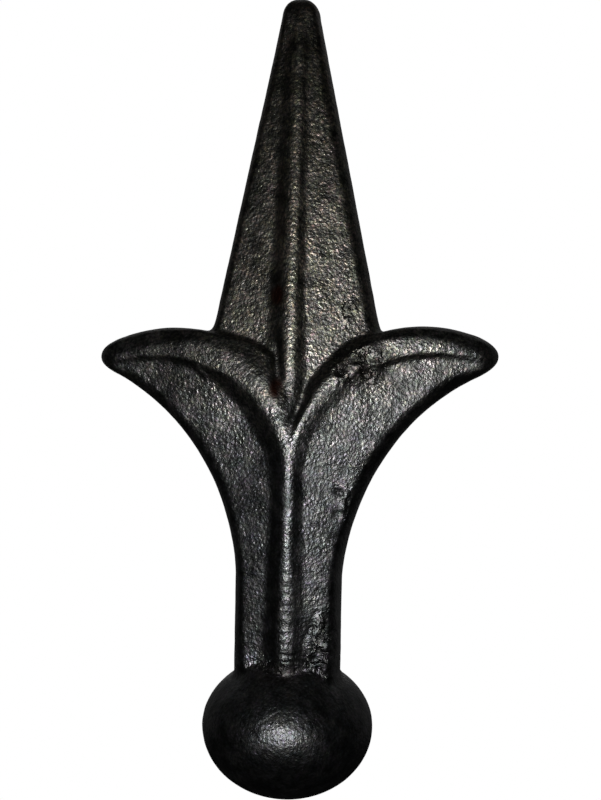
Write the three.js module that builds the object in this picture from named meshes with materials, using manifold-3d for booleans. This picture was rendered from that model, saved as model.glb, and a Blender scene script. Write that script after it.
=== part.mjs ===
import * as THREE from 'three';
import Module from 'manifold-3d';

const wasm = await Module();
wasm.setup();

// Sizes in millimetres. Z is up from the weld face under the ball, X is right, the front faces -Y.
const totalHeight = 158.2;

// Ball at the foot, a little flattened, with the weld face under it.
const ballRadius = 17;
const ballCentreZ = 13.5;
const ballTopHeight = 13.1;
const ballBottomHeight = 13.95;
const weldFaceRadius = 4.2;
const ballSteps = 44;

// Collar where the stem rises from the ball: heights, and its half width and half depth there.
const collarZ = [20, 22, 23, 24.6, 25.8, 26.7];
const collarWide = [10, 10, 9.9, 9.6, 9.2, 8.5];
const collarDeep = [14, 12.9, 11.9, 10.35, 9.1, 8.1];
const collarSquare = 2.6;
const collarSteps = 32;

// Stem, shared by the two arms that open into the leaves. Its rib stands near the axis.
const stemStartZ = 17.5;
const stemEndZ = 42.5;
const stemHalfRight = 10.35;
const stemHalfLeft = 10.85;
const ribX = 0.13;
const ridgePartZ = 65.5;

// Leaves: furthest reach, height of the tip's centre, length of its rounding and width below it.
const leafReachRight = 40.4;
const leafTipZRight = 87.5;
const tipRadiusRight = 4.1;
const tipBelowRight = 4.15;
const leafReachLeft = 39.6;
const leafTipZLeft = 86.5;
const tipRadiusLeft = 4;
const tipBelowLeft = 3.75;

// Pull of the curve handles of each lower edge and each ridge, at the stem and at the tip.
const edgeLiftRight = 6.4;
const edgeReachRight = 23.9;
const edgeLiftLeft = 7.8;
const edgeReachLeft = 23.7;
const ridgeLiftRight = 10.2;
const ridgeReachRight = 24.4;
const ridgeLiftLeft = 9.8;
const ridgeReachLeft = 27.4;

// Relief of the arms at the stem, fork, arm, root of the leaf, leaf and tip, by part of their length.
const stations = [0.5, 0.58, 0.68, 0.8, 0.9, 1];
const ridgeDepthRight = [9.4, 9.2, 8.4, 7.1, 6.3, 5.1];
const ridgeDepthLeft = [9.4, 9.1, 8.3, 7.1, 5.7, 4.2];
const crestOutRight = [1, 0.9, 1.1, 1.5, 1.4, 0.8];
const crestOutLeft = [1.1, 1.6, 2.4, 3, 2.1, 1];
const crestInRight = [0.8, 0.4, 1.3, 2.5, 1.8, 0.8];
const crestInLeft = [1, 0.9, 1.4, 1.2, 0.4, 0.4];
const flankRight = [2.9, 3, 3, 1.5, 0.9, 0.8];
const flankLeft = [3.5, 4.1, 3.6, 1.7, 1, 0.8];
const flankRiseRight = [1.15, 0.95, 0.95, 0.9, 0.75, 0.4];
const flankRiseLeft = [2.2, 2.7, 2.3, 1.4, 0.9, 0.4];
const faceSlopeRight = [9.5, 9, 7, 4, 3, 3];
const faceSlopeLeft = [9, 7.5, 7.5, 9, 11, 7];
const wallRunRight = [1.2, 2.2, 2.9, 1.4, 1.3, 1.2];
const wallRunLeft = [1, 3, 4.2, 2.4, 2, 1.4];
const wallDropRight = [0.8, 2, 2.6, 1.5, 0.9, 0.6];
const wallDropLeft = [0.6, 0.9, 1.25, 1, 1, 0.6];
const aboveRight = [2.7, 3.2, 4.9, 4.3, 4.2, 3.9];
const aboveLeft = [2.7, 5, 6.5, 3.85, 3.75, 3.65];
const rimRight = [2.5, 3, 3.3, 3, 3, 2.9];
const rimLeft = [3.2, 3.5, 3.5, 3.3, 3, 2.7];
const armFacet = 2.7;

const arms = [
  {
    side: 1,
    stemHalf: stemHalfRight,
    tipX: leafReachRight - tipRadiusRight,
    tipZ: leafTipZRight,
    tipBelow: tipBelowRight,
    tipRadius: tipRadiusRight,
    edgeLift: edgeLiftRight,
    edgeReach: edgeReachRight,
    edgeAngle: 26.1,
    ridgeLift: ridgeLiftRight,
    ridgeReach: ridgeReachRight,
    ridgeAngle: 16.8,
    ridgeDepth: ridgeDepthRight,
    rim: rimRight,
    crestOut: crestOutRight,
    crestIn: crestInRight,
    flank: flankRight,
    flankRise: flankRiseRight,
    faceSlope: faceSlopeRight,
    wallRun: wallRunRight,
    wallDrop: wallDropRight,
    above: aboveRight,
  },
  {
    side: -1,
    stemHalf: stemHalfLeft,
    tipX: leafReachLeft - tipRadiusLeft,
    tipZ: leafTipZLeft,
    tipBelow: tipBelowLeft,
    tipRadius: tipRadiusLeft,
    edgeLift: edgeLiftLeft,
    edgeReach: edgeReachLeft,
    edgeAngle: 28.7,
    ridgeLift: ridgeLiftLeft,
    ridgeReach: ridgeReachLeft,
    ridgeAngle: 19.2,
    ridgeDepth: ridgeDepthLeft,
    rim: rimLeft,
    crestOut: crestOutLeft,
    crestIn: crestInLeft,
    flank: flankLeft,
    flankRise: flankRiseLeft,
    faceSlope: faceSlopeLeft,
    wallRun: wallRunLeft,
    wallDrop: wallDropLeft,
    above: aboveLeft,
  },
];

// Spear blade: straight tapering edges, a central rib and a rounded point.
const bladeBaseZ = 98.5;
const bladeLeft = 15.05;
const bladeLeftTaper = 0.204;
const bladeRight = 15.75;
const bladeRightTaper = 0.2091;
const pointRadius = 3.7;
const bladeRootZ = 70.5;
const bladeRootHalf = 2.2;
const notchZ = 91.5;
const bladeRibRootX = -0.22;
const bladeRibTopX = 0.3;
const bladeRibRootDepth = 8.3;
const bladeRibTopDepth = 4.1;
const bladeCrestRootHalf = 1.1;
const bladeCrestTopHalf = 0.7;
const bladeFlankRootLeft = 4.1;
const bladeFlankTopLeft = 2;
const bladeFlankRootRight = 2.3;
const bladeFlankTopRight = 1;
const bladeRiseRootLeft = 2;
const bladeRiseTopLeft = 0.8;
const bladeRiseRootRight = 1.1;
const bladeRiseTopRight = 0.45;
const bladeSlopeLeft = 8.5;
const bladeSlopeRootRight = 8.8;
const bladeSlopeTopRight = 6.8;
const bladePointSlope = 14;
const bladeRimLeft = 2.3;
const bladeRimRight = 2.9;
const bladeFacet = 6.4;

const rimSteps = 4;
const flankSteps = 3;
const wallSteps = 2;
const backSteps = 3;

function mix(a, b, t) {
  return a + (b - a) * t;
}

function smooth(low, high, value) {
  const t = Math.min(1, Math.max(0, (value - low) / (high - low)));
  return t * t * (3 - 2 * t);
}

// Rows of ring points joined side by side and closed with a fan at each end.
function loft(rings) {
  const count = rings[0].length;
  const positions = [];
  const index = [];
  for (const ring of rings) {
    for (const point of ring) {
      positions.push(point.x, point.y, point.z);
    }
  }
  for (let i = 0; i + 1 < rings.length; i += 1) {
    for (let j = 0; j < count; j += 1) {
      const a = i * count + j;
      const b = i * count + ((j + 1) % count);
      index.push(a, b, b + count);
      index.push(a, b + count, a + count);
    }
  }
  for (const end of [0, rings.length - 1]) {
    const centre = new THREE.Vector3();
    for (const point of rings[end]) {
      centre.addScaledVector(point, 1 / count);
    }
    const hub = positions.length / 3;
    positions.push(centre.x, centre.y, centre.z);
    for (let j = 0; j < count; j += 1) {
      const a = end * count + j;
      const b = end * count + ((j + 1) % count);
      if (end === 0) {
        index.push(hub, b, a);
      } else {
        index.push(hub, a, b);
      }
    }
  }
  const geometry = new THREE.BufferGeometry();
  geometry.setAttribute('position', new THREE.Float32BufferAttribute(positions, 3));
  geometry.setIndex(index);
  return geometry;
}

function signedVolume(positions, index) {
  const a = new THREE.Vector3();
  const b = new THREE.Vector3();
  const c = new THREE.Vector3();
  let sum = 0;
  for (let i = 0; i < index.length; i += 3) {
    a.fromArray(positions, index[i] * 3);
    b.fromArray(positions, index[i + 1] * 3);
    c.fromArray(positions, index[i + 2] * 3);
    sum += a.dot(b.cross(c)) / 6;
  }
  return sum;
}

// Closed solid with its faces turned outward.
function toSolid(geometry) {
  const positions = Float32Array.from(geometry.attributes.position.array);
  const index = Uint32Array.from(geometry.index.array);
  if (signedVolume(positions, index) < 0) {
    for (let i = 0; i < index.length; i += 3) {
      const keep = index[i];
      index[i] = index[i + 1];
      index[i + 1] = keep;
    }
  }
  const mesh = new wasm.Mesh({ numProp: 3, vertProperties: positions, triVerts: index });
  return new wasm.Manifold(mesh);
}

// Value at part t of an arm, on a smooth curve through the values at the stations.
function station(values, t) {
  const last = stations.length - 1;
  const place = Math.min(1, Math.max(stations[0], t));
  let i = 0;
  while (i < last - 1 && place > stations[i + 1]) {
    i += 1;
  }
  const run = stations[i + 1] - stations[i];
  const u = (place - stations[i]) / run;
  const before = Math.max(0, i - 1);
  const after = Math.min(last, i + 2);
  const slope = (from, to) => ((values[to] - values[from]) / (stations[to] - stations[from])) * run;
  const lead = i === 0 ? 0 : slope(before, i + 1);
  const tail = slope(i, after);
  const blend = 3 * u * u - 2 * u * u * u;
  return mix(values[i], values[i + 1], blend)
    + (u * u * u - 2 * u * u + u) * lead
    + (u * u * u - u * u) * tail;
}

// Half relief from an outer edge up to a flat-topped ridge: rounded rim, sloping face, groove and flank.
function reliefToRidge(width, rimWanted, flankWanted, crestWanted, slope, rise, ridgeDepth) {
  const rim = Math.min(rimWanted, width * 0.4);
  const crest = Math.min(crestWanted, width * 0.25);
  const flank = Math.min(flankWanted, width * 0.42 - crest * 0.3);
  const face = Math.max(0.05, width - rim - flank - crest);
  const grooveDepth = ridgeDepth - rise;
  const edgeDepth = grooveDepth - face * Math.tan(THREE.MathUtils.degToRad(slope));
  const points = [];
  for (let i = 0; i < rimSteps; i += 1) {
    const angle = (i / rimSteps) * (Math.PI / 2);
    points.push([rim * (1 - Math.cos(angle)), edgeDepth * Math.sin(angle)]);
  }
  points.push([rim, edgeDepth]);
  for (let i = 0; i <= flankSteps; i += 1) {
    const t = i / flankSteps;
    const ramp = mix(t, 0.5 - 0.5 * Math.cos(Math.PI * t), 0.35);
    points.push([rim + face + flank * t, mix(grooveDepth, ridgeDepth, ramp)]);
  }
  points.push([width, ridgeDepth]);
  return points;
}

// Distances and depths from the middle of a crest down its inner wall to the mid plane.
function ridgeBack(above, crestWanted, runWanted, drop, ridgeDepth) {
  const crest = Math.min(crestWanted, above * 0.7);
  const run = Math.min(runWanted, (above - crest) * 0.82);
  const points = [[crest, ridgeDepth]];
  for (let i = 1; i <= wallSteps; i += 1) {
    const t = i / wallSteps;
    points.push([crest + run * t, ridgeDepth - drop * t]);
  }
  for (let i = 1; i <= backSteps; i += 1) {
    const angle = (i / backSteps) * (Math.PI / 2);
    const depth = i === backSteps ? 0 : (ridgeDepth - drop) * Math.cos(angle);
    points.push([crest + run + (above - crest - run) * Math.sin(angle), depth]);
  }
  return points;
}

// Front points and their mirror behind the mid plane, as one closed ring.
function mirrorRing(front) {
  const ring = [];
  for (const point of front) {
    ring.push(new THREE.Vector3(point.x, -point.depth, point.z));
  }
  for (let i = front.length - 2; i > 0; i -= 1) {
    ring.push(new THREE.Vector3(front[i].x, front[i].depth, front[i].z));
  }
  return ring;
}

// Straight run up the stem followed by one curve out to the tip.
function armPath(startX, bendZ, lift, reach, angle, endX, endZ) {
  const start = new THREE.Vector2(startX, stemStartZ);
  const bend = new THREE.Vector2(startX, bendZ);
  const end = new THREE.Vector2(endX, endZ);
  const lean = THREE.MathUtils.degToRad(angle);
  const before = new THREE.Vector2(endX - reach * Math.cos(lean), endZ - reach * Math.sin(lean));
  const path = new THREE.CurvePath();
  path.add(new THREE.LineCurve(start, bend));
  path.add(new THREE.CubicBezierCurve(bend, new THREE.Vector2(startX, bendZ + lift), before, end));
  return path;
}

function armSolid(arm) {
  const edgeEndZ = arm.tipZ - arm.tipBelow;
  const edge = armPath(
    arm.stemHalf, stemEndZ, arm.edgeLift, arm.edgeReach, arm.edgeAngle, arm.tipX, edgeEndZ);
  const ridge = armPath(
    ribX * arm.side, ridgePartZ, arm.ridgeLift, arm.ridgeReach, -arm.ridgeAngle,
    arm.tipX, arm.tipZ);
  const rings = [];
  let front = [];
  const sections = Math.ceil(ridge.getLength() / armFacet);
  for (let i = 0; i <= sections; i += 1) {
    const t = i / sections;
    const outer = edge.getPoint(t);
    const crest = ridge.getPoint(t);
    const ahead = ridge.getPoint(Math.min(1, t + 0.004));
    const behind = ridge.getPoint(Math.max(0, t - 0.004));
    const along = ahead.sub(behind).normalize();
    along.lerp(new THREE.Vector2(1, 0), smooth(0.85, 1, t)).normalize();
    const inward = new THREE.Vector2(-along.y, along.x);
    const width = outer.distanceTo(crest);
    const ridgeDepth = station(arm.ridgeDepth, t);
    const relief = reliefToRidge(
      width,
      station(arm.rim, t),
      station(arm.flank, t),
      station(arm.crestOut, t),
      station(arm.faceSlope, t),
      station(arm.flankRise, t),
      ridgeDepth);
    front = [];
    for (const [distance, depth] of relief) {
      const place = outer.clone().lerp(crest, distance / width);
      front.push({ x: place.x * arm.side, z: place.y, depth });
    }
    const back = ridgeBack(
      station(arm.above, t),
      station(arm.crestIn, t),
      station(arm.wallRun, t),
      station(arm.wallDrop, t),
      ridgeDepth);
    for (const [distance, depth] of back) {
      const place = crest.clone().addScaledVector(inward, distance);
      front.push({ x: place.x * arm.side, z: place.y, depth });
    }
    rings.push(mirrorRing(front));
  }
  for (const degrees of [20, 40, 58, 74, 85]) {
    const reach = Math.sin(THREE.MathUtils.degToRad(degrees));
    const shrink = Math.sqrt(1 - reach);
    const fall = (1 - reach ** 1.6) ** 0.6;
    const out = arm.tipRadius * reach * arm.side;
    const cap = front.map((point) => ({
      x: point.x + out,
      z: arm.tipZ + (point.z - arm.tipZ) * shrink,
      depth: point.depth * fall,
    }));
    rings.push(mirrorRing(cap));
  }
  return toSolid(loft(rings));
}

// Blade half section at one height, from the left edge over the rib to the right edge.
function bladeFront(z) {
  const pointCentreZ = totalHeight - pointRadius;
  const rise = Math.min(z, pointCentreZ);
  const up = (rise - bladeRootZ) / (pointCentreZ - bladeRootZ);
  let left = bladeLeft - bladeLeftTaper * (rise - bladeBaseZ);
  let right = bladeRight - bladeRightTaper * (rise - bladeBaseZ);
  let shrink = 1;
  if (z > pointCentreZ) {
    shrink = Math.sqrt(Math.max(0, 1 - ((z - pointCentreZ) / pointRadius) ** 2));
  }
  const root = Math.min(1, Math.max(0, (notchZ - z) / (notchZ - bladeRootZ)));
  left = mix(left, bladeRootHalf, 1 - (1 - root) ** 1.9);
  right = mix(right, bladeRootHalf, 1 - (1 - root) ** 1.9);
  const crestHalf = mix(bladeCrestRootHalf, bladeCrestTopHalf, up);
  const crestX = mix(bladeRibRootX, bladeRibTopX, smooth(0.25, 1, up));
  const fade = 1 - 0.9 * smooth(0.92, 1, up);
  const crest = mix(bladeRibRootDepth, bladeRibTopDepth, up);
  const leftFlank = mix(bladeFlankRootLeft, bladeFlankTopLeft, up);
  const rightFlank = mix(bladeFlankRootRight, bladeFlankTopRight, up);
  const leftRise = mix(bladeRiseRootLeft, bladeRiseTopLeft, up) * fade;
  const rightRise = mix(bladeRiseRootRight, bladeRiseTopRight, up) * fade;
  const rightSlope = mix(bladeSlopeRootRight, bladeSlopeTopRight, up);
  const points = [];
  for (const [side, half, rim, flank, rise, faceSlope] of [
    [-1, left, bladeRimLeft, leftFlank, leftRise, bladeSlopeLeft],
    [1, right, bladeRimRight, rightFlank, rightRise, rightSlope],
  ]) {
    const width = half - crestX * side;
    const slope = mix(faceSlope, bladePointSlope, smooth(0.82, 1, up));
    const relief = reliefToRidge(width, rim, flank, crestHalf, slope, rise, crest);
    const row = relief.map(([distance, depth]) => ({
      x: side * (half - distance) * shrink,
      z,
      depth: depth * shrink,
    }));
    if (side < 0) {
      points.push(...row);
    } else {
      points.push(...row.reverse().slice(1));
    }
  }
  return points;
}

function bladeSolid() {
  const heights = [];
  const pointZ = totalHeight - pointRadius;
  for (let i = 0; i <= 6; i += 1) {
    heights.push(mix(bladeRootZ, notchZ, i / 6));
  }
  const sections = Math.ceil((pointZ - notchZ) / bladeFacet);
  for (let i = 1; i <= sections; i += 1) {
    heights.push(mix(notchZ, pointZ, i / sections));
  }
  for (const degrees of [18, 36, 54, 70, 82]) {
    const turn = THREE.MathUtils.degToRad(degrees);
    heights.push(pointZ + pointRadius * Math.sin(turn));
  }
  const rings = heights.map((z) => mirrorRing(bladeFront(z)));
  const solid = loft(rings);
  const place = solid.attributes.position;
  place.setXYZ(place.count - 1, 0, 0, totalHeight);
  return toSolid(solid);
}

function ballSolid() {
  const outline = [new THREE.Vector2(0, 0)];
  const low = Math.asin(Math.min(1, ballCentreZ / ballBottomHeight));
  const steps = 24;
  for (let i = 0; i <= steps; i += 1) {
    const angle = mix(-low, Math.PI / 2, i / steps);
    const height = angle < 0 ? ballBottomHeight : ballTopHeight;
    const radius = i === 0 ? weldFaceRadius : ballRadius * Math.cos(angle);
    const flat = i === steps ? 0 : radius;
    outline.push(new THREE.Vector2(flat, ballCentreZ + height * Math.sin(angle)));
  }
  const geometry = new THREE.LatheGeometry(outline, ballSteps);
  geometry.rotateX(Math.PI / 2);
  return geometry;
}

function collarSolid() {
  const rings = collarZ.map((z, i) => {
    const ring = [];
    for (let j = 0; j < collarSteps; j += 1) {
      const around = (j / collarSteps) * Math.PI * 2;
      const across = Math.cos(around);
      const inout = Math.sin(around);
      ring.push(new THREE.Vector3(
        collarWide[i] * Math.sign(across) * Math.abs(across) ** (2 / collarSquare),
        collarDeep[i] * Math.sign(inout) * Math.abs(inout) ** (2 / collarSquare),
        z));
    }
    return ring;
  });
  return toSolid(loft(rings));
}

const group = new THREE.Group();
const { mergeVertices } = await import('three/addons/utils/BufferGeometryUtils.js');

let ball = ballSolid();
ball.deleteAttribute('normal');
ball.deleteAttribute('uv');
ball = mergeVertices(ball, 1e-4);

let body = toSolid(ball).add(collarSolid());
for (const arm of arms) {
  body = body.add(armSolid(arm));
}
body = body.add(bladeSolid());
body = body.simplify(0.02);

const result = body.getMesh();
const geometry = new THREE.BufferGeometry();
geometry.setAttribute('position', new THREE.Float32BufferAttribute(result.vertProperties, 3));
geometry.setIndex(Array.from(result.triVerts));
geometry.computeVertexNormals();

const blackPaint = new THREE.MeshStandardMaterial({ color: 0x1c1c1b, roughness: 0.45, metalness: 0 });
const finial = new THREE.Mesh(geometry, blackPaint);
finial.name = 'finial';
group.add(finial);

export default group;
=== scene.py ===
import bmesh
import bpy
import math
import numpy as np
from mathutils import Matrix, Vector


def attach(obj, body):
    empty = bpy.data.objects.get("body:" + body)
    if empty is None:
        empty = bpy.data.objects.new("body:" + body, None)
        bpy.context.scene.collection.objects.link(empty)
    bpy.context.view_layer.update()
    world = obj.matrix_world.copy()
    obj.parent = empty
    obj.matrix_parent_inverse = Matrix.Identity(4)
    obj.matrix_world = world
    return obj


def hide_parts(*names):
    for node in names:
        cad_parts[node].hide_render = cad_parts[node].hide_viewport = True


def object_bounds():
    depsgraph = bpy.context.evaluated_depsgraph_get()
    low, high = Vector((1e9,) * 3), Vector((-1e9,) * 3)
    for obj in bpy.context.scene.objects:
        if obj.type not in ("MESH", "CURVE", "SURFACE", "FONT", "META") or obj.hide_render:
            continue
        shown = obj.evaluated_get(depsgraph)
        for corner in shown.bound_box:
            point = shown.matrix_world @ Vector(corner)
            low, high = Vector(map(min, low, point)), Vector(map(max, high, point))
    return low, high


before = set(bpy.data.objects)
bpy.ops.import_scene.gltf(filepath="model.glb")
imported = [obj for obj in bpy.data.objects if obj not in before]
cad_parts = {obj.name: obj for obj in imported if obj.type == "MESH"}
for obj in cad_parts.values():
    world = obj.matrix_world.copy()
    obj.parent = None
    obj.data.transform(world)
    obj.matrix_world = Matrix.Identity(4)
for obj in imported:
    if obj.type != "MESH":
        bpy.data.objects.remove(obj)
cad_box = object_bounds()
MM = 0.001

# Camera in degrees and metres: six degrees round to the right, level, rolled as the picture leans.
CAMERA_TURN = 6.0
CAMERA_RAISE = 0.0
CAMERA_ROLL = 1.083
CAMERA_DISTANCE = 0.22
AIM_HEIGHT = 0.0783
AIM_ACROSS = 0.00141
PICTURE_HEIGHT = 0.1602
SENSOR_WIDTH = 36
CLIP_START = 0.01

# Lamps beside the lens and straight across from it, in degrees, metres and watts.
KEY_TURN, KEY_RAISE = 0, -3.6
BACK_KEY_TURN, BACK_KEY_RAISE = 186, 0
LAMP_DISTANCE = 0.23
LAMP_WIDTH = 0.03
LAMP_POWER = 0.6
LAMP_TARGET = (0, 0, 0.078)

# Room: dark before the finial, paler behind it, softly lit overhead, by ranges of the direction's Y and Z.
ROOM_DARK, ROOM_PALE = 0.004, 0.07
WALL_Y, WALL_Z = (-0.2, 0.7), (-0.55, 0.0)
OVERHEAD_Y, OVERHEAD_Z = (0.0, 0.6), (0.15, 0.6)
OVERHEAD_LIGHT = 0.1
WHITE = (1, 1, 1, 1)

# Pale floor, in metres.
FLOOR_RADIUS = 3
FLOOR_DROP = 0.0002

# Whole finial, in millimetres.
TOTAL_HEIGHT = 158.2
BALL_RADIUS = 17.0
BALL_CENTRE_Z = 13.5
BALL_TOP_HEIGHT = 13.1
BALL_BOTTOM_HEIGHT = 13.95
WELD_FACE_RADIUS = 4.2

# Collar of metal where the stem rises from the ball: heights, and its half width and half depth there.
COLLAR_Z = [20.0, 21.0, 22.0, 23.0, 24.6, 25.8, 26.7]
COLLAR_WIDE = [10.0, 10.0, 10.0, 9.9, 9.6, 9.2, 8.5]
COLLAR_DEEP = [14.0, 13.6, 12.9, 11.9, 10.35, 9.1, 8.1]
COLLAR_SQUARE = 2.6

# Stem and the two arms that open into the leaves.
STEM_START_Z = 17.5
STEM_END_Z = 42.5
RIB_X = 0.13
RIDGE_PART_Z = 65.5
CREST_CROWN = 0.12
TIP_LEVEL_FROM = 0.85
TIP_ROUND = 1.6
TIP_FALL = 0.6

# Places along an arm, as parts of its length: stem, fork, arm, root of the leaf, leaf and tip.
# Each list of an arm holds one value for each place.
STATIONS = [0.50, 0.58, 0.68, 0.80, 0.90, 1.0]
ARM_RIGHT = dict(
    side=1, stem_half=10.35, tip_x=36.3, tip_z=87.5, tip_below=4.15, tip_radius=4.1,
    edge_lift=6.4, edge_reach=23.9, edge_angle=26.1,
    ridge_lift=10.2, ridge_reach=24.4, ridge_angle=16.8,
    rim=[2.5, 3.0, 3.3, 3.0, 3.0, 2.9],
    crest_out=[1.0, 0.9, 1.1, 1.5, 1.4, 0.8],
    flank=[2.9, 3.0, 3.0, 1.5, 0.9, 0.8],
    crest_in=[0.8, 0.4, 1.3, 2.5, 1.8, 0.8],
    wall_run=[1.2, 2.2, 2.9, 1.4, 1.3, 1.2],
    wall_drop=[0.8, 2.0, 2.6, 1.5, 0.9, 0.6],
    above=[2.7, 3.2, 4.9, 4.3, 4.2, 3.9],
    ridge_depth=[9.4, 9.2, 8.4, 7.1, 6.3, 5.1],
    flank_rise=[1.15, 0.95, 0.95, 0.9, 0.75, 0.4],
    face_slope=[9.5, 9.0, 7.0, 4.0, 3.0, 3.0])
ARM_LEFT = dict(
    side=-1, stem_half=10.85, tip_x=35.6, tip_z=86.5, tip_below=3.75, tip_radius=4.0,
    edge_lift=7.8, edge_reach=23.7, edge_angle=28.7,
    ridge_lift=9.8, ridge_reach=27.4, ridge_angle=19.2,
    rim=[3.2, 3.5, 3.5, 3.3, 3.0, 2.7],
    crest_out=[1.1, 1.6, 2.4, 3.0, 2.1, 1.0],
    flank=[3.5, 4.1, 3.6, 1.7, 1.0, 0.8],
    crest_in=[1.0, 0.9, 1.4, 1.2, 0.4, 0.4],
    wall_run=[1.0, 3.0, 4.2, 2.4, 2.0, 1.4],
    wall_drop=[0.6, 0.9, 1.25, 1.0, 1.0, 0.6],
    above=[2.7, 5.0, 6.5, 3.85, 3.75, 3.65],
    ridge_depth=[9.4, 9.1, 8.3, 7.1, 5.7, 4.2],
    flank_rise=[2.2, 2.7, 2.3, 1.4, 0.9, 0.4],
    face_slope=[9.0, 7.5, 7.5, 9.0, 11.0, 7.0])

# Spear blade: half width of each side at its base, and its loss per millimetre up. Pairs are root and top.
BLADE_BASE_Z = 98.5
BLADE_LEFT, BLADE_LEFT_TAPER = 15.05, 0.204
BLADE_RIGHT, BLADE_RIGHT_TAPER = 15.75, 0.2091
POINT_RADIUS = 3.7
BLADE_ROOT_Z, BLADE_ROOT_HALF = 70.5, 2.2
BLADE_ROOT_CURVE = 1.9
NOTCH_Z, NOTCH_FLARE, NOTCH_FADE = 91.5, 0.8, 0.8
BLADE_RIB_ROOT_X, BLADE_RIB_TOP_X = -0.22, 0.3
BLADE_FLANK_LEFT, BLADE_FLANK_RIGHT = (4.1, 2.0), (2.3, 1.0)
BLADE_RISE_LEFT, BLADE_RISE_RIGHT = (2.0, 0.8), (1.1, 0.45)
BLADE_CREST_ROOT_HALF, BLADE_CREST_TOP_HALF = 1.1, 0.7
BLADE_RIB_ROOT_DEPTH, BLADE_RIB_TOP_DEPTH = 8.3, 4.1
BLADE_SLOPE_LEFT, BLADE_SLOPE_RIGHT, BLADE_TOP_SLOPE = (8.5, 8.5), (8.8, 6.8), 14.0
BLADE_RIM_LEFT, BLADE_RIM_RIGHT = 2.3, 2.9
# Parts of the blade's length from which the rib wanders, the faces steepen and the grooves fade out.
RIB_WANDER_FROM, TOP_SLOPE_FROM, GROOVE_FADE_FROM = 0.25, 0.82, 0.92
GROOVE_FADE = 0.9

# Relief: largest part of the width that each strip takes, and how rounded a flank and an inner wall are.
RIM_SHARE, CREST_SHARE, FLANK_SHARE, FLANK_CREST_SHARE = 0.4, 0.25, 0.42, 0.3
BACK_CREST_SHARE, BACK_WALL_SHARE = 0.7, 0.82
LEAST_FACE = 0.05
FLANK_BEND, WALL_BEND = 0.35, 0.3

# Fineness: rows and rings of each shell, the stretch that gives an arm's direction, the fused skin's cells.
CURVE_POINTS, STEM_POINTS = 600, 200
ROUND_ROWS, FACE_ROWS, FLANK_ROWS, CREST_ROWS = 13, 9, 17, 8
ARM_RINGS, ARM_TIP_RINGS = 181, 18
BLADE_LOW_RINGS, BLADE_HIGH_RINGS, BLADE_POINT_RINGS = 60, 90, 20
BLADE_SPLIT_Z = 97
BALL_RINGS, BALL_AROUND = 110, 160
COLLAR_RINGS, COLLAR_AROUND = 24, 120
LOOK_AHEAD = 0.004
VOXEL = 0.43
RELAX_FACTOR, RELAX_PASSES = 0.5, 2
# Degrees at which the rounded ends stop, just short of the pole: leaf tips, blade's point, ball's top.
TIP_END, POINT_END, BALL_END = 89, 88, 89

# Places on the front where the skin is eaten away, in millimetres: centre, half sizes, strength.
PITTED = [(13.6, 85.2, 5.0, 3.6, 0.6), (10.9, 96.0, 1.8, 2.4, 0.35), (7.6, 31.0, 2.6, 6.0, 0.5),
          (-1.5, 27.0, 7.0, 1.6, 0.35), (11.2, 58.0, 0.8, 4.6, 0.35)]
RUSTED = [(-2.9, 98.6, 1.5, 2.2, 0.9), (-2.5, 80.6, 1.5, 2.2, 1.0), (-2.6, 112.0, 1.0, 14.0, 0.35),
          (12.8, 84.0, 3.0, 3.0, 0.15), (-1.0, 25.6, 6.0, 2.0, 0.3)]
# Painted highlights and painted shade: spots made brighter or darker than round about: centre, half sizes,
# share less or more.
PAINTED_LIGHT_AND_SHADE_SPOTS = [(-8.0, 83.4, 3.4, 2.2, -0.6), (-8.2, 111.0, 2.2, 10.0, -0.55), (-2.7, 122.0, 1.2, 26.0, -0.4),
          (-3.8, 99.8, 2.4, 3.6, -0.8), (-2.9, 88.0, 1.5, 6.0, -0.6), (-6.6, 27.8, 1.2, 2.0, 3.0),
          (8.6, 81.4, 1.2, 1.2, 0.5), (9.9, 84.4, 1.3, 1.1, -0.8), (26.0, 82.5, 11.0, 4.0, -0.4),
          (2.6, 31.0, 1.6, 5.0, -0.4), (6.5, 38.0, 3.5, 6.0, -0.35), (-8.5, 67.0, 4.0, 11.0, 0.35),
          (-7.0, 90.5, 2.5, 2.5, 0.8), (5.5, 131.0, 3.5, 10.0, 0.3), (26.0, 89.2, 9.0, 1.3, 0.5),
          (0.0, 13.5, 9.0, 5.0, -0.12), (-16.0, 76.0, 4.0, 4.0, 0.5), (5.5, 112.0, 4.0, 8.0, 0.12),
          (-6.0, 13.6, 3.0, 2.6, 0.4), (6.2, 13.8, 3.0, 2.6, 0.5), (0.0, 154.0, 9.0, 8.0, -0.25)]
# Lips, chips and holes left by the hammer: centre, half length, half width, lean in degrees, height.
SCARS = [(-2.0, 27.4, 1.7, 0.6, 22, 0.22), (0.9, 27.9, 1.7, 0.6, 0, 0.3), (3.8, 27.3, 1.7, 0.6, -22, 0.22),
         (-2.4, 28.5, 1.7, 0.4, 22, -0.2), (0.9, 29.0, 1.7, 0.4, 0, -0.2), (4.2, 28.4, 1.7, 0.4, -22, -0.2),
         (-17.8, 83.6, 1.8, 0.5, -41, 0.3), (-2.6, 85.2, 4.6, 0.9, 92, -0.6),
         (2.2, 77.2, 3.2, 0.7, 61, -0.45), (10.2, 56.5, 1.3, 0.5, 10, -0.3),
         (10.3, 60.5, 1.4, 0.5, -15, -0.28), (9.8, 52.0, 1.2, 0.45, 5, -0.22),
         (9.9, 84.4, 1.2, 1.0, 60, -1.0), (18.4, 84.8, 0.9, 0.5, 30, -0.35),
         (13.4, 87.6, 1.0, 0.6, -20, -0.5), (14.6, 83.4, 0.8, 0.7, 10, -0.4),
         (16.6, 86.4, 0.8, 0.6, 0, -0.4), (6.4, 29.2, 1.6, 0.8, 70, -0.35),
         (5.0, 34.4, 1.4, 0.6, 80, -0.3)]
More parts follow.
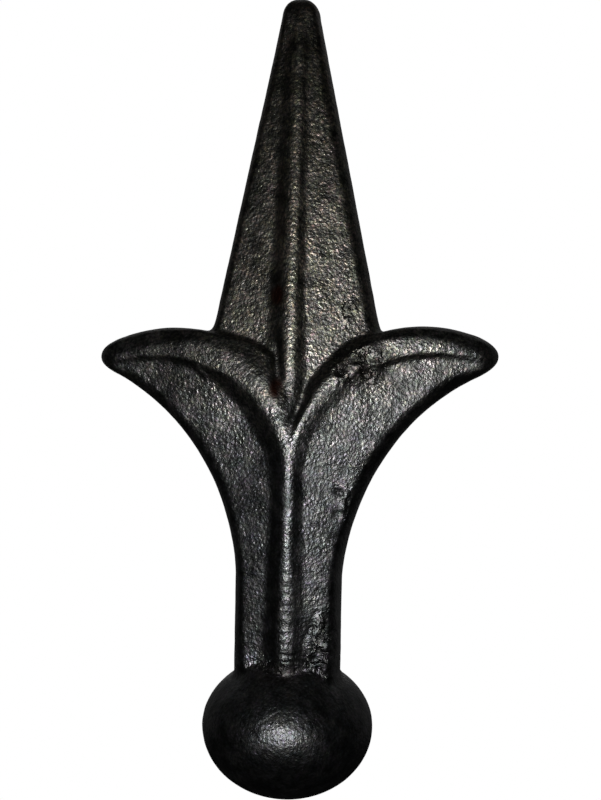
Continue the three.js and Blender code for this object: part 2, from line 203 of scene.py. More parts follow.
# Shallow dents up the lower rib, uneven in pitch and lean.
RIPPLE_COUNT, RIPPLE_X, RIPPLE_Z = 8, 0.2, 31.2
RIPPLE_PITCH, RIPPLE_DRIFT, RIPPLE_LEAN = 1.9, 0.35, 7
RIPPLE_HALF_LENGTH, RIPPLE_HALF_WIDTH, RIPPLE_HEIGHT = 1.5, 0.4, -0.1
RIPPLES = [(RIPPLE_X, RIPPLE_Z + RIPPLE_PITCH * i + RIPPLE_DRIFT * math.sin(3 * i), RIPPLE_HALF_LENGTH,
            RIPPLE_HALF_WIDTH, RIPPLE_LEAN * math.sin(2 * i), RIPPLE_HEIGHT) for i in range(RIPPLE_COUNT)]
# How firm the edge of each kind of place is, and of the front, which alone carries the marks.
PITTED_EDGE, RUSTED_EDGE, PAINTED_SPOT_EDGE = 1.5, 3.0, 1.5
FRONT_EDGE = 2.5

# Tone of the scale, in millimetres: colder low down and warmer from the fork up; darker low down and
# lighter from the fork up is painted shade and painted light.
TONE_FROM_Z, TONE_RUN = 58, 40
PAINTED_SHADE_LOW_DOWN, PAINTED_LIGHT_UP_HIGH = 0.74, 1.3
COLD_SCALE, WARM_SCALE = np.array([0.089, 0.095, 0.100]), np.array([0.106, 0.099, 0.076])
WARM_REACH, WARM_LOSS = 35, 0.6

# Forged skin: noise between which a pit opens, and heights in metres between which the foot turns rough.
PIT_SHUT, PIT_OPEN = 0.56, 0.42
WELD_SMOOTH_TO, WELD_ROUGH_FROM = 0.0004, 0.004

# Finish: colours where it isn't bare scale, then the strength or the range of noise of each effect.
COATING = (0.034, 0.034, 0.033, 1)
PIT_HOLLOW_COLOUR = (0.006, 0.0055, 0.005, 1)
RUST = (0.011, 0.0035, 0.002, 1)
MID_GREY = (0.5, 0.5, 0.5, 1)
NOISE_LOW, NOISE_HIGH = 0.3, 0.7
FINER_GRAIN, COARSE_SHARE, FINE_SHARE = 1.37, 0.45, 0.55
BROAD_PLAY, COLOUR_PLAY = 0.4, 0.52
MOTTLE_DARK, MOTTLE_LIGHT = 0.62, 1.3
HOLE_FROM, HOLE_TO = 0.38, 0.56
PIT_DARKENING_SHARE = 0.4
RUST_FROM, RUST_TO = 0.15, 0.45
METAL_SHARE = 0.97
ROUGH_LOW, ROUGH_HIGH = 0.30, 0.40
EATEN_ROUGHNESS, RUST_ROUGHNESS = 0.12, 0.2
GRAIN_RELIEF, HOLE_RELIEF = 0.00016, 0.0008


def mix(a, b, t):
    """Value at part t of the way from a to b."""
    return a + (b - a) * t


def smooth(low, high, value):
    """Rise from 0 to 1 between two values, soft at both ends."""
    t = min(1.0, max(0.0, (value - low) / (high - low)))
    return t * t * (3 - 2 * t)


def arm_path(start_x, bend_z, lift, reach, angle, end_x, end_z):
    """Points and lengths of a straight run up the stem followed by one curve out to the tip."""
    lean = math.radians(angle)
    p0 = np.array([start_x, bend_z])
    p1 = np.array([start_x, bend_z + lift])
    p2 = np.array([end_x - reach * math.cos(lean), end_z - reach * math.sin(lean)])
    p3 = np.array([end_x, end_z])
    t = np.linspace(0, 1, CURVE_POINTS)[:, None]
    curve = (1 - t) ** 3 * p0 + 3 * (1 - t) ** 2 * t * p1 + 3 * (1 - t) * t * t * p2 + t ** 3 * p3
    heights = np.linspace(STEM_START_Z, bend_z, STEM_POINTS + 1)[:-1]
    line = np.stack([np.full(STEM_POINTS, start_x), heights], 1)
    points = np.concatenate([line, curve])
    steps = np.linalg.norm(np.diff(points, axis=0), axis=1)
    lengths = np.concatenate([[0], np.cumsum(steps)])
    return points, lengths / lengths[-1]


def at(path, t):
    """Point at part t of a path's length."""
    points, lengths = path
    return np.array([np.interp(t, lengths, points[:, 0]), np.interp(t, lengths, points[:, 1])])


def station(values, t):
    """Value at part t of an arm, on a smooth curve through the values at the named stations."""
    last = len(STATIONS) - 1
    t = min(1.0, max(STATIONS[0], t))
    i = min(last - 1, sum(1 for s in STATIONS[1:] if t > s))
    run = STATIONS[i + 1] - STATIONS[i]
    u = (t - STATIONS[i]) / run
    before, after = max(0, i - 1), min(last, i + 2)
    lead = (values[i + 1] - values[before]) / (STATIONS[i + 1] - STATIONS[before]) * run
    tail = (values[after] - values[i]) / (STATIONS[after] - STATIONS[i]) * run
    lead = 0 if i == 0 else lead
    return ((2 * u ** 3 - 3 * u ** 2 + 1) * values[i] + (u ** 3 - 2 * u ** 2 + u) * lead
            + (3 * u ** 2 - 2 * u ** 3) * values[i + 1] + (u ** 3 - u ** 2) * tail)


def relief_to_ridge(width, rim, flank, crest, slope, rise, ridge_depth):
    """Half relief from an outer edge up to a flat-topped ridge, as rows of distance and depth."""
    rim = min(rim, width * RIM_SHARE)
    crest = min(crest, width * CREST_SHARE)
    flank = min(flank, width * FLANK_SHARE - crest * FLANK_CREST_SHARE)
    face = max(LEAST_FACE, width - rim - flank - crest)
    shoulder = ridge_depth - CREST_CROWN
    groove_depth = shoulder - rise
    edge_depth = groove_depth - face * math.tan(math.radians(slope))
    turn = np.linspace(0, math.pi / 2, ROUND_ROWS)
    rim_rows = np.stack([rim * (1 - np.cos(turn)), edge_depth * np.sin(turn)], 1)
    t = np.linspace(0, 1, FACE_ROWS)[1:-1]
    face_rows = np.stack([rim + face * t, mix(edge_depth, groove_depth, t)], 1)
    t = np.linspace(0, 1, FLANK_ROWS)
    ramp = mix(t, 0.5 - 0.5 * np.cos(np.pi * t), FLANK_BEND)
    flank_rows = np.stack([rim + face + flank * t, mix(groove_depth, shoulder, ramp)], 1)
    t = np.linspace(0, 1, CREST_ROWS)[1:]
    crest_rows = np.stack([width - crest * (1 - t), ridge_depth - CREST_CROWN * (1 - t) ** 2], 1)
    return np.concatenate([rim_rows, face_rows, flank_rows, crest_rows])


def ridge_back(above, crest, run, drop, ridge_depth):
    """Distances and depths from the middle of a crest down its inner wall to the mid plane."""
    crest = min(crest, above * BACK_CREST_SHARE)
    run = min(run, (above - crest) * BACK_WALL_SHARE)
    shoulder = ridge_depth - CREST_CROWN
    t = np.linspace(0, 1, CREST_ROWS)[1:]
    turn = np.linspace(0, math.pi / 2, ROUND_ROWS)[1:]
    ramp = mix(t, 0.5 - 0.5 * np.cos(np.pi * t), WALL_BEND)
    distance = np.concatenate([crest * t, crest + run * t,
                               crest + run + (above - crest - run) * np.sin(turn)])
    depth = np.concatenate([ridge_depth - CREST_CROWN * t ** 2, shoulder - drop * ramp,
                            (shoulder - drop) * np.cos(turn)])
    depth[-1] = 0
    return distance, depth


def mirror_ring(x, z, depth):
    """Front points and their mirror behind the mid plane, as one closed ring."""
    front = np.stack([x, -depth, z], 1)
    back = np.stack([x, depth, z], 1)[-2:0:-1]
    return np.concatenate([front, back])


def loft(rings):
    """Vertices and faces of rings joined side by side, with a fan at each end."""
    rings = np.array(rings)
    count = rings.shape[1]
    verts = rings.reshape(-1, 3)
    faces = []
    for i in range(len(rings) - 1):
        for j in range(count):
            k = (j + 1) % count
            faces.append((i * count + j, i * count + k, (i + 1) * count + k, (i + 1) * count + j))
    last = (len(rings) - 1) * count
    hubs = np.array([rings[0].mean(0), rings[-1].mean(0)])
    low_hub = len(verts)
    for j in range(count):
        k = (j + 1) % count
        faces.append((low_hub, k, j))
        faces.append((low_hub + 1, last + j, last + k))
    return np.concatenate([verts, hubs]), faces


def arm_shell(arm):
    """One arm: half of the stem, opening into a leaf with a rounded tip."""
    side = arm["side"]
    edge = arm_path(arm["stem_half"], STEM_END_Z, arm["edge_lift"], arm["edge_reach"],
                    arm["edge_angle"], arm["tip_x"], arm["tip_z"] - arm["tip_below"])
    ridge = arm_path(RIB_X * side, RIDGE_PART_Z, arm["ridge_lift"], arm["ridge_reach"],
                     -arm["ridge_angle"], arm["tip_x"], arm["tip_z"])
    rings = []
    for t in np.linspace(0, 1, ARM_RINGS):
        outer, crest = at(edge, t), at(ridge, t)
        along = at(ridge, min(1, t + LOOK_AHEAD)) - at(ridge, max(0, t - LOOK_AHEAD))
        along = along / np.linalg.norm(along)
        along = mix(along, np.array([1.0, 0.0]), smooth(TIP_LEVEL_FROM, 1, t))
        along = along / np.linalg.norm(along)
        inward = np.array([-along[1], along[0]])
        width = np.linalg.norm(crest - outer)
        size = {key: station(arm[key], t) for key in
                ("rim", "crest_out", "flank", "crest_in", "wall_run", "wall_drop", "above", "ridge_depth",
                 "flank_rise", "face_slope")}
        relief = relief_to_ridge(width, size["rim"], size["flank"], size["crest_out"],
                                 size["face_slope"], size["flank_rise"], size["ridge_depth"])
        places = outer + (crest - outer) * (relief[:, :1] / width)
        back, back_depth = ridge_back(size["above"], size["crest_in"], size["wall_run"],
                                      size["wall_drop"], size["ridge_depth"])
        top = crest + inward * back[:, None]
        x = np.concatenate([places[:, 0], top[:, 0]]) * side
        z = np.concatenate([places[:, 1], top[:, 1]])
        depth = np.concatenate([relief[:, 1], back_depth])
        rings.append(mirror_ring(x, z, depth))
    for turn in np.radians(np.linspace(0, TIP_END, ARM_TIP_RINGS)[1:]):
        reach = math.sin(turn)
        shrink = math.sqrt(1 - reach)
        out = arm["tip_radius"] * reach * side
        thin = (1 - reach ** TIP_ROUND) ** TIP_FALL
        rings.append(mirror_ring(x + out, mix(arm["tip_z"], z, shrink), depth * thin))
    return loft(rings)


def blade_row(height):
    """Closed ring of the blade at one height."""
    point_z = TOTAL_HEIGHT - POINT_RADIUS
    rise = min(height, point_z)
    up = (rise - BLADE_ROOT_Z) / (point_z - BLADE_ROOT_Z)
    shrink = math.sqrt(max(0, 1 - (max(0, height - point_z) / POINT_RADIUS) ** 2))
    root = min(1, max(0, (NOTCH_Z - height) / (NOTCH_Z - BLADE_ROOT_Z)))
    flare = NOTCH_FLARE * math.exp(-max(0, height - NOTCH_Z) / NOTCH_FADE)
    left = BLADE_LEFT - BLADE_LEFT_TAPER * (rise - BLADE_BASE_Z) + flare
    right = BLADE_RIGHT - BLADE_RIGHT_TAPER * (rise - BLADE_BASE_Z) + flare
    left = mix(left, BLADE_ROOT_HALF, 1 - (1 - root) ** BLADE_ROOT_CURVE)
    right = mix(right, BLADE_ROOT_HALF, 1 - (1 - root) ** BLADE_ROOT_CURVE)
    crest_half = mix(BLADE_CREST_ROOT_HALF, BLADE_CREST_TOP_HALF, up)
    crest_x = mix(BLADE_RIB_ROOT_X, BLADE_RIB_TOP_X, smooth(RIB_WANDER_FROM, 1, up))
    fade = 1 - GROOVE_FADE * smooth(GROOVE_FADE_FROM, 1, up)
    crest = mix(BLADE_RIB_ROOT_DEPTH, BLADE_RIB_TOP_DEPTH, up)
    rows = []
    for side, half, rim, flanks, rises, slopes in (
            (-1, left, BLADE_RIM_LEFT, BLADE_FLANK_LEFT, BLADE_RISE_LEFT, BLADE_SLOPE_LEFT),
            (1, right, BLADE_RIM_RIGHT, BLADE_FLANK_RIGHT, BLADE_RISE_RIGHT, BLADE_SLOPE_RIGHT)):
        slope = mix(mix(*slopes, up), BLADE_TOP_SLOPE, smooth(TOP_SLOPE_FROM, 1, up))
        relief = relief_to_ridge(half - crest_x * side, rim, mix(*flanks, up), crest_half,
                                 slope, mix(*rises, up) * fade, crest)
        row = np.stack([side * (half - relief[:, 0]) * shrink, relief[:, 1] * shrink], 1)
        rows.append(row if side < 0 else row[-2::-1])
    row = np.concatenate(rows)
    return mirror_ring(row[:, 0], np.full(len(row), height), row[:, 1])


def blade_shell():
    """Spear blade from its root in the fork up to the rounded point."""
    point_z = TOTAL_HEIGHT - POINT_RADIUS
    heights = list(np.linspace(BLADE_ROOT_Z, BLADE_SPLIT_Z, BLADE_LOW_RINGS))
    heights += list(np.linspace(BLADE_SPLIT_Z, point_z, BLADE_HIGH_RINGS)[1:])
    turns = np.radians(np.linspace(0, POINT_END, BLADE_POINT_RINGS)[1:])
    heights += [point_z + POINT_RADIUS * math.sin(turn) for turn in turns]
    return loft([blade_row(z) for z in heights])


def ball_shell():
    """Flattened ball with the weld face under it."""
    low = math.asin(BALL_CENTRE_Z / BALL_BOTTOM_HEIGHT)
    around = np.linspace(0, 2 * math.pi, BALL_AROUND, endpoint=False)
    rings = []
    for angle in np.linspace(-low, math.radians(BALL_END), BALL_RINGS):
        height = BALL_BOTTOM_HEIGHT if angle < 0 else BALL_TOP_HEIGHT
        radius = BALL_RADIUS * math.cos(angle)
        if not rings:
            radius = WELD_FACE_RADIUS
        z = BALL_CENTRE_Z + height * math.sin(angle)
        rings.append(np.stack([radius * np.cos(around), radius * np.sin(around),
                               np.full(BALL_AROUND, z)], 1))
    return loft(rings)


def collar_shell():
    """Collar that widens the foot of the stem into the ball."""
    rings = []
    around = np.linspace(0, 2 * math.pi, COLLAR_AROUND, endpoint=False)
    for z in np.linspace(COLLAR_Z[0], COLLAR_Z[-1], COLLAR_RINGS):
        wide, deep = np.interp(z, COLLAR_Z, COLLAR_WIDE), np.interp(z, COLLAR_Z, COLLAR_DEEP)
        x = wide * np.sign(np.cos(around)) * np.abs(np.cos(around)) ** (2 / COLLAR_SQUARE)
        y = deep * np.sign(np.sin(around)) * np.abs(np.sin(around)) ** (2 / COLLAR_SQUARE)
        rings.append(np.stack([x, y, np.full(COLLAR_AROUND, z)], 1))
    return loft(rings)


def join_shells(name, shells):
    """One object, in metres, from shells in millimetres."""
    verts, faces = [], []
    for points, sides in shells:
        base = sum(len(v) for v in verts)
        verts.append(points)
        faces += [tuple(i + base for i in side) for side in sides]
    mesh = bpy.data.meshes.new(name)
    mesh.from_pydata((np.concatenate(verts) * MM).tolist(), [], faces)
    mesh.validate()
    piece = bpy.data.objects.new(name, mesh)
    bpy.context.scene.collection.objects.link(piece)
    return piece


def bake_modifiers(piece):
    """Plain mesh of the piece as its modifiers leave it."""
    depsgraph = bpy.context.evaluated_depsgraph_get()
    mesh = bpy.data.meshes.new_from_object(piece.evaluated_get(depsgraph))
    piece.modifiers.clear()
    piece.data = mesh
    return mesh


def forge_body():
    """Ball, arms and blade fused into one skin."""
    shells = [ball_shell(), collar_shell(), arm_shell(ARM_RIGHT), arm_shell(ARM_LEFT), blade_shell()]
    piece = join_shells("finial_forging", shells)
    bm = bmesh.new()
    bm.from_mesh(piece.data)
    bmesh.ops.recalc_face_normals(bm, faces=bm.faces)
    bm.to_mesh(piece.data)
    bm.free()
    fuse = piece.modifiers.new("fuse", "REMESH")
    fuse.mode = "VOXEL"
    fuse.voxel_size = VOXEL * MM
    fuse.use_smooth_shade = True
    relax = piece.modifiers.new("relax", "SMOOTH")
    relax.factor = RELAX_FACTOR
    relax.iterations = RELAX_PASSES
    bake_modifiers(piece)
    return piece


def spot_masks(x, z, spots, edge):
    """Strength at each point of each of a list of spots, with a firmer edge for a higher edge value."""
    for across, up, half_across, half_up, strength in spots:
        far = ((x - across) / half_across) ** 2 + ((z - up) / half_up) ** 2
        yield strength * np.exp(-far ** edge)


def mark_skin(mesh):
    """Hammer marks on the front, and the masks and the tone, with its painted light and painted shade, that
    the skin and the finish read.
    """
    count = len(mesh.vertices)
    place, normal = np.empty(count * 3), np.empty(count * 3)
    mesh.vertices.foreach_get("co", place)
    mesh.vertices.foreach_get("normal", normal)
    place, normal = place.reshape(-1, 3), normal.reshape(-1, 3)
    x, z = place[:, 0] / MM, place[:, 2] / MM
    front = np.clip(-normal[:, 1] * FRONT_EDGE, 0, 1)
    push = np.zeros(count)
    for across, up, half_length, half_width, lean, height in SCARS + RIPPLES:
        c, s = math.cos(math.radians(lean)), math.sin(math.radians(lean))
        along = (x - across) * c + (z - up) * s
        beside = (z - up) * c - (x - across) * s
        push += height * np.exp(-(along / half_length) ** 4 - (beside / half_width) ** 2)
    place += normal * (push * front * MM)[:, None]
    mesh.vertices.foreach_set("co", place.ravel())
    masks = {"pitting": sum(spot_masks(x, z, PITTED, PITTED_EDGE)) * front,
             "rust": sum(spot_masks(x, z, RUSTED, RUSTED_EDGE)) * front}
    for name, values in masks.items():
        layer = mesh.attributes.new(name, "FLOAT", "POINT")
        layer.data.foreach_set("value", np.clip(values, 0, 1))
    # Painted light and painted shade: the tone is lighter from the fork up and darker low down, and
    # brighter or darker in the painted spots. It also shifts from cold low down to warm higher up.
    high = np.clip((z - TONE_FROM_Z) / TONE_RUN, 0, 1)
    high = high * high * (3 - 2 * high)
    painted_brightness = mix(PAINTED_SHADE_LOW_DOWN, PAINTED_LIGHT_UP_HIGH, high) * (1 + sum(spot_masks(x, z, PAINTED_LIGHT_AND_SHADE_SPOTS, PAINTED_SPOT_EDGE)) * front)
    warm = (high * (1 - WARM_LOSS * np.clip(np.abs(x) / WARM_REACH, 0, 1)))[:, None]
    tone_and_painted_light = mix(COLD_SCALE, WARM_SCALE, warm) * painted_brightness[:, None]
    layer = mesh.attributes.new("tone_and_painted_light", "FLOAT_COLOR", "POINT")
    layer.data.foreach_set("color", np.concatenate([tone_and_painted_light, np.ones((count, 1))], 1).ravel())


def add_node(tree, kind, inputs=None, **settings):
    """A node with its settings, its input values, and links for inputs that are sockets."""
    node = tree.nodes.new(kind)
    for key, value in settings.items():
        setattr(node, key, value)
    for key, value in (inputs or {}).items():
        if isinstance(value, bpy.types.NodeSocket):
            tree.links.new(value, node.inputs[key])
        else:
            node.inputs[key].default_value = value
    return node


def calculate(tree, operation, a, b=0.0, clamp=False):
    """Result of one sum on two values."""
    node = add_node(tree, "ShaderNodeMath", {0: a, 1: b}, operation=operation, use_clamp=clamp)
    return node.outputs[0]


def spread(tree, value, low, high, to_low=0.0, to_high=1.0):
    """Value brought from one range to another on a soft curve."""
    node = add_node(tree, "ShaderNodeMapRange", {"Value": value, "From Min": low, "From Max": high,
                                                 "To Min": to_low, "To Max": to_high})
    node.interpolation_type = "SMOOTHSTEP"
    return node.outputs[0]


def forged_skin_tree():
    """Geometry nodes that swell, dimple and pit a smooth skin as forging and weather leave it."""
    tree = bpy.data.node_groups.new("forged_skin", "GeometryNodeTree")
    face = tree.interface
    face.new_socket("Geometry", in_out="INPUT", socket_type="NodeSocketGeometry")
    for name, value in (("Swell Height", 0.00016), ("Swell Scale", 170.0), ("Dimple Height", 0.00009),
                        ("Dimple Scale", 520.0), ("Pit Depth", 0.0006), ("Pit Scale", 500.0),
                        ("Seed", 3.0)):
        socket = face.new_socket(name, in_out="INPUT", socket_type="NodeSocketFloat")
        socket.default_value = value
    face.new_socket("Finish", in_out="INPUT", socket_type="NodeSocketMaterial")
    face.new_socket("Geometry", in_out="OUTPUT", socket_type="NodeSocketGeometry")
    given = tree.nodes.new("NodeGroupInput").outputs
    where = tree.nodes.new("GeometryNodeInputPosition").outputs[0]
    normal = tree.nodes.new("GeometryNodeInputNormal").outputs[0]

    def lumps(scale, detail, shift):
        seed = calculate(tree, "ADD", given["Seed"], shift)
        return add_node(tree, "ShaderNodeTexNoise", {"Vector": where, "W": seed, "Scale": scale,
                                                     "Detail": detail}, noise_dimensions="4D").outputs[0]

    swell = calculate(tree, "SUBTRACT", lumps(given["Swell Scale"], 1.0, 0.0), 0.5)
    dimple = calculate(tree, "SUBTRACT", lumps(given["Dimple Scale"], 1.0, 1.7), 0.5)
    pit = spread(tree, lumps(given["Pit Scale"], 1.5, 5.1), PIT_SHUT, PIT_OPEN)
    mask = add_node(tree, "GeometryNodeInputNamedAttribute", {"Name": "pitting"},
                    data_type="FLOAT").outputs[0]
    height = calculate(tree, "MULTIPLY", swell, given["Swell Height"])
    height = calculate(tree, "ADD", height, calculate(tree, "MULTIPLY", dimple, given["Dimple Height"]))
    eaten = calculate(tree, "MULTIPLY", calculate(tree, "MULTIPLY", pit, mask), given["Pit Depth"])
    height = calculate(tree, "SUBTRACT", height, eaten)
    up = add_node(tree, "ShaderNodeSeparateXYZ", {0: where}).outputs["Z"]
    above_weld = spread(tree, up, WELD_SMOOTH_TO, WELD_ROUGH_FROM)
    height = calculate(tree, "MULTIPLY", height, above_weld)
    offset = add_node(tree, "ShaderNodeVectorMath", {0: normal, "Scale": height},
                      operation="SCALE").outputs[0]
    moved = add_node(tree, "GeometryNodeSetPosition", {"Geometry": given["Geometry"], "Offset": offset})
    whole = add_node(tree, "GeometryNodeRealizeInstances", {"Geometry": moved.outputs[0]})
    finished = add_node(tree, "GeometryNodeSetMaterial", {"Geometry": whole.outputs[0],
                                                          "Material": given["Finish"]})
    end = tree.nodes.new("NodeGroupOutput")
    tree.links.new(finished.outputs[0], end.inputs[0])
    return tree


def iron_grain_group():
    """Sandy grain of the scale: its height, the glint of its worn tops and a faint play of colour."""
    tree = bpy.data.node_groups.new("iron_grain", "ShaderNodeTree")
    face = tree.interface
    face.new_socket("Vector", in_out="INPUT", socket_type="NodeSocketVector")
    for name, value in (("Grain Scale", 1500.0), ("Glint From", 0.40), ("Glint To", 0.66)):
        face.new_socket(name, in_out="INPUT", socket_type="NodeSocketFloat").default_value = value
    face.new_socket("Height", in_out="OUTPUT", socket_type="NodeSocketFloat")
    face.new_socket("Glint", in_out="OUTPUT", socket_type="NodeSocketFloat")
    face.new_socket("Speckle", in_out="OUTPUT", socket_type="NodeSocketColor")
    given = tree.nodes.new("NodeGroupInput").outputs
    end = tree.nodes.new("NodeGroupOutput")
    coarse = add_node(tree, "ShaderNodeTexNoise", {"Vector": given["Vector"], "Scale": given["Grain Scale"],
                                                   "Detail": 2.5, "Roughness": 0.55}).outputs[0]
    finer = calculate(tree, "MULTIPLY", given["Grain Scale"], FINER_GRAIN)
    shine = add_node(tree, "ShaderNodeTexNoise", {"Vector": given["Vector"], "Scale": finer, "Detail": 1.0,
                                                  "Distortion": 0.4})
    both = calculate(tree, "ADD", calculate(tree, "MULTIPLY", coarse, COARSE_SHARE),
                     calculate(tree, "MULTIPLY", shine.outputs[0], FINE_SHARE))
    glint = add_node(tree, "ShaderNodeMapRange", {"Value": both, "From Min": given["Glint From"],
                                                  "From Max": given["Glint To"]}).outputs[0]
    tree.links.new(coarse, end.inputs["Height"])
    tree.links.new(glint, end.inputs["Glint"])
    tree.links.new(shine.outputs["Color"], end.inputs["Speckle"])
    return tree


def blend_colour(tree, kind, factor, a, b):
    """Two colours mixed, multiplied or added by a factor."""
    node = tree.nodes.new("ShaderNodeMix")
    node.data_type = "RGBA"
    node.blend_type = kind
    for socket, value in ((node.inputs["Factor"], factor), (node.inputs[6], a), (node.inputs[7], b)):
        if isinstance(value, bpy.types.NodeSocket):
            tree.links.new(value, socket)
        else:
            socket.default_value = value
    return node.outputs[2]


def grey(tree, value):
    """Grey of a given brightness."""
    return add_node(tree, "ShaderNodeCombineColor", {0: value, 1: value, 2: value}).outputs[0]


def blackened_iron():
    """Black coating worn to dull scale on the grain, darker in the hollows of the pits, rusty in the deep
    grooves, its tone carrying painted light and painted shade.
    """
    material = bpy.data.materials.new("blackened_iron")
    material.use_nodes = True
    tree = material.node_tree
    tree.nodes.clear()
    out = tree.nodes.new("ShaderNodeOutputMaterial")
    shader = tree.nodes.new("ShaderNodeBsdfPrincipled")
    tree.links.new(shader.outputs["BSDF"], out.inputs["Surface"])
    where = tree.nodes.new("ShaderNodeTexCoord").outputs["Object"]
    grain = tree.nodes.new("ShaderNodeGroup")
    grain.node_tree = iron_grain_group()
    tree.links.new(where, grain.inputs["Vector"])
    masks = {name: add_node(tree, "ShaderNodeAttribute", attribute_name=name).outputs["Fac"]
             for name in ("pitting", "rust")}
    # The tone carries painted light and painted shade besides the colour of the scale.
    painted_light_tone = add_node(tree, "ShaderNodeAttribute", attribute_name="tone_and_painted_light").outputs["Color"]
    cloud = add_node(tree, "ShaderNodeTexNoise", {"Vector": where, "Scale": 260.0,
                                                  "Detail": 3.0}).outputs[0]

    broad = add_node(tree, "ShaderNodeTexNoise", {"Vector": where, "Scale": 420.0, "Detail": 1.5})
    speckle = blend_colour(tree, "MIX", BROAD_PLAY, grain.outputs["Speckle"], broad.outputs["Color"])
    speckle = blend_colour(tree, "MIX", COLOUR_PLAY, MID_GREY, speckle)
    speckle = blend_colour(tree, "MULTIPLY", 1.0, painted_light_tone, speckle)
    speckle = blend_colour(tree, "ADD", 1.0, speckle, speckle)
    shade = blend_colour(tree, "MIX", grain.outputs["Glint"], COATING, speckle)
    mottle = spread(tree, broad.outputs[0], NOISE_LOW, NOISE_HIGH, MOTTLE_DARK, MOTTLE_LIGHT)
    shade = blend_colour(tree, "MULTIPLY", 1.0, shade, grey(tree, mottle))
    eaten = add_node(tree, "ShaderNodeTexNoise", {"Vector": where, "Scale": 400.0, "Detail": 3.0,
                                                  "Roughness": 0.6, "Distortion": 0.3}).outputs[0]
    holes = spread(tree, eaten, HOLE_FROM, HOLE_TO)
    # Darker colour in the hollows of the pits.
    hollow_darkening = calculate(tree, "MULTIPLY", masks["pitting"], calculate(tree, "SUBTRACT", 1.0, holes))
    hollow_darkening = calculate(tree, "MULTIPLY", hollow_darkening, PIT_DARKENING_SHARE, clamp=True)
    shade = blend_colour(tree, "MIX", hollow_darkening, shade, PIT_HOLLOW_COLOUR)
    rusty = calculate(tree, "MULTIPLY", masks["rust"], spread(tree, cloud, RUST_FROM, RUST_TO), clamp=True)
    shade = blend_colour(tree, "MIX", rusty, shade, RUST)
    tree.links.new(shade, shader.inputs["Base Color"])
    shader.inputs["Metallic"].default_value = METAL_SHARE

    rough = spread(tree, cloud, NOISE_LOW, NOISE_HIGH, ROUGH_LOW, ROUGH_HIGH)
    rough = calculate(tree, "ADD", rough, calculate(tree, "MULTIPLY", masks["pitting"], EATEN_ROUGHNESS))
    rough = calculate(tree, "ADD", rough, calculate(tree, "MULTIPLY", rusty, RUST_ROUGHNESS), clamp=True)
    tree.links.new(rough, shader.inputs["Roughness"])

    bump = add_node(tree, "ShaderNodeBump", {"Strength": 1.0, "Distance": GRAIN_RELIEF,
                                             "Height": grain.outputs["Height"]})
    worn = calculate(tree, "MULTIPLY", masks["pitting"], holes)
    pocked = add_node(tree, "ShaderNodeBump", {"Strength": 1.0, "Distance": HOLE_RELIEF,
                                               "Normal": bump.outputs[0], "Height": worn})
    tree.links.new(pocked.outputs["Normal"], shader.inputs["Normal"])
    return material


def finish_skin(piece):
    """Marks, then the forged skin baked into the mesh, kept inside the solid's box and flat at the weld."""
    mark_skin(piece.data)
    skin = piece.modifiers.new("skin", "NODES")
    skin.node_group = forged_skin_tree()
    finish = next(item for item in skin.node_group.interface.items_tree if item.name == "Finish")
    skin[finish.identifier] = blackened_iron()
    mesh = bake_modifiers(piece)
    place = np.empty(len(mesh.vertices) * 3)
    mesh.vertices.foreach_get("co", place)
    place = np.clip(place.reshape(-1, 3), np.array(cad_box[0]), np.array(cad_box[1]))
    mesh.vertices.foreach_set("co", place.ravel())
    mesh.update()


def add_camera():
    """Camera at the photograph's viewing angle."""
    data = bpy.data.cameras.new("camera")
    data.sensor_width = SENSOR_WIDTH
    data.lens = SENSOR_WIDTH * CAMERA_DISTANCE / PICTURE_HEIGHT
    data.clip_start = CLIP_START
    camera = bpy.data.objects.new("camera", data)
    turn, rise = math.radians(CAMERA_TURN), math.radians(CAMERA_RAISE)
    across = Vector((math.cos(turn), math.sin(turn), 0))
    back = Vector((math.sin(turn) * math.cos(rise), -math.cos(turn) * math.cos(rise), math.sin(rise)))
    camera.location = across * AIM_ACROSS + back * CAMERA_DISTANCE + Vector((0, 0, AIM_HEIGHT))
    look = back.to_track_quat("Z", "Y").to_matrix().to_4x4()
    roll = Matrix.Rotation(math.radians(CAMERA_ROLL), 4, "Z")
    camera.rotation_mode = "QUATERNION"
    camera.rotation_quaternion = (look @ roll).to_quaternion()
    bpy.context.scene.collection.objects.link(camera)
    bpy.context.scene.camera = camera


def add_lamp(name, azimuth, elevation):
    """Small round lamp that faces the finial and stays out of the picture."""
    light = bpy.data.lights.new(name, "AREA")
    light.shape = "DISK"
    light.size = LAMP_WIDTH
    light.energy = LAMP_POWER
    lamp = bpy.data.objects.new(name, light)
    turn, rise = math.radians(azimuth), math.radians(elevation)
    back = Vector((math.sin(turn) * math.cos(rise), -math.cos(turn) * math.cos(rise), math.sin(rise)))
    lamp.location = Vector(LAMP_TARGET) + back * LAMP_DISTANCE
    lamp.rotation_mode = "QUATERNION"
    lamp.rotation_quaternion = back.to_track_quat("Z", "Y")
    lamp.visible_camera = False
    bpy.context.scene.collection.objects.link(lamp)


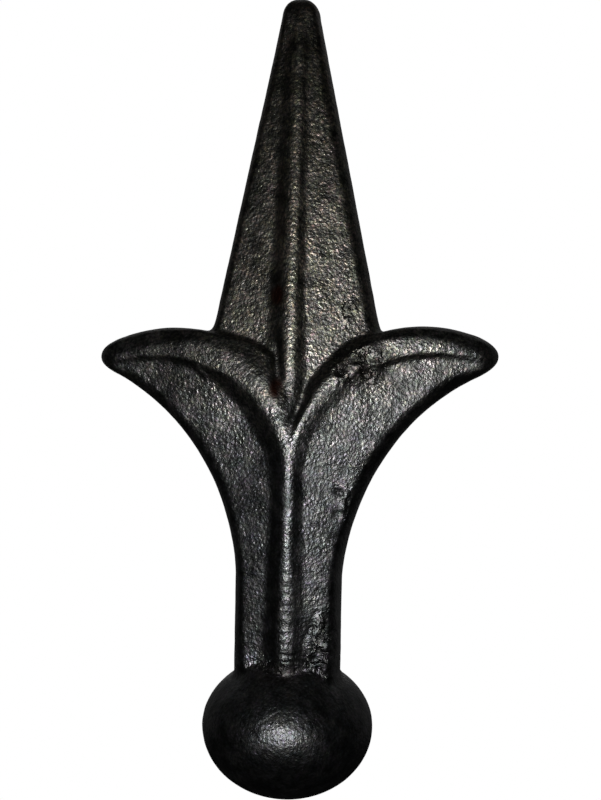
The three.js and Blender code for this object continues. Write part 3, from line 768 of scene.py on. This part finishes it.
def add_room():
    """Surroundings that the iron mirrors. The camera sees them as plain white."""
    world = bpy.data.worlds.new("studio")
    bpy.context.scene.world = world
    world.use_nodes = True
    tree = world.node_tree
    tree.nodes.clear()
    out = tree.nodes.new("ShaderNodeOutputWorld")
    direction = tree.nodes.new("ShaderNodeTexCoord").outputs["Generated"]
    towards = add_node(tree, "ShaderNodeSeparateXYZ", {0: direction}).outputs
    wall = calculate(tree, "MULTIPLY", spread(tree, towards["Y"], *WALL_Y),
                     spread(tree, towards["Z"], *WALL_Z))
    overhead = calculate(tree, "MULTIPLY", spread(tree, towards["Y"], *OVERHEAD_Y),
                         spread(tree, towards["Z"], *OVERHEAD_Z, 0.0, OVERHEAD_LIGHT))
    pale = calculate(tree, "ADD", spread(tree, wall, 0.0, 1.0, ROOM_DARK, ROOM_PALE), overhead)
    room = add_node(tree, "ShaderNodeBackground", {"Color": grey(tree, pale)})
    white = add_node(tree, "ShaderNodeBackground", {"Color": WHITE})
    sight = tree.nodes.new("ShaderNodeLightPath")
    pick = tree.nodes.new("ShaderNodeMixShader")
    tree.links.new(sight.outputs["Is Camera Ray"], pick.inputs["Fac"])
    tree.links.new(room.outputs[0], pick.inputs[1])
    tree.links.new(white.outputs[0], pick.inputs[2])
    tree.links.new(pick.outputs[0], out.inputs["Surface"])


def add_floor():
    """Pale floor under the ball, which lights nothing."""
    bpy.ops.mesh.primitive_circle_add(vertices=96, radius=FLOOR_RADIUS, fill_type="NGON",
                                      location=(0, 0, -FLOOR_DROP))
    floor = bpy.context.object
    floor.name = "floor"
    pale = bpy.data.materials.new("pale_floor")
    pale.use_nodes = True
    tree = pale.node_tree
    tree.nodes.clear()
    glow = add_node(tree, "ShaderNodeEmission", {"Color": WHITE})
    end = tree.nodes.new("ShaderNodeOutputMaterial")
    tree.links.new(glow.outputs[0], end.inputs["Surface"])
    floor.data.materials.append(pale)
    floor.visible_glossy = False
    floor.visible_diffuse = False
    floor.visible_shadow = False


forging = forge_body()
finish_skin(forging)
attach(forging, "root")
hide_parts("finial")

add_camera()
add_room()
add_lamp("key", KEY_TURN, KEY_RAISE)
add_lamp("back key", BACK_KEY_TURN, BACK_KEY_RAISE)
add_floor()
bpy.context.scene.view_settings.view_transform = "Standard"
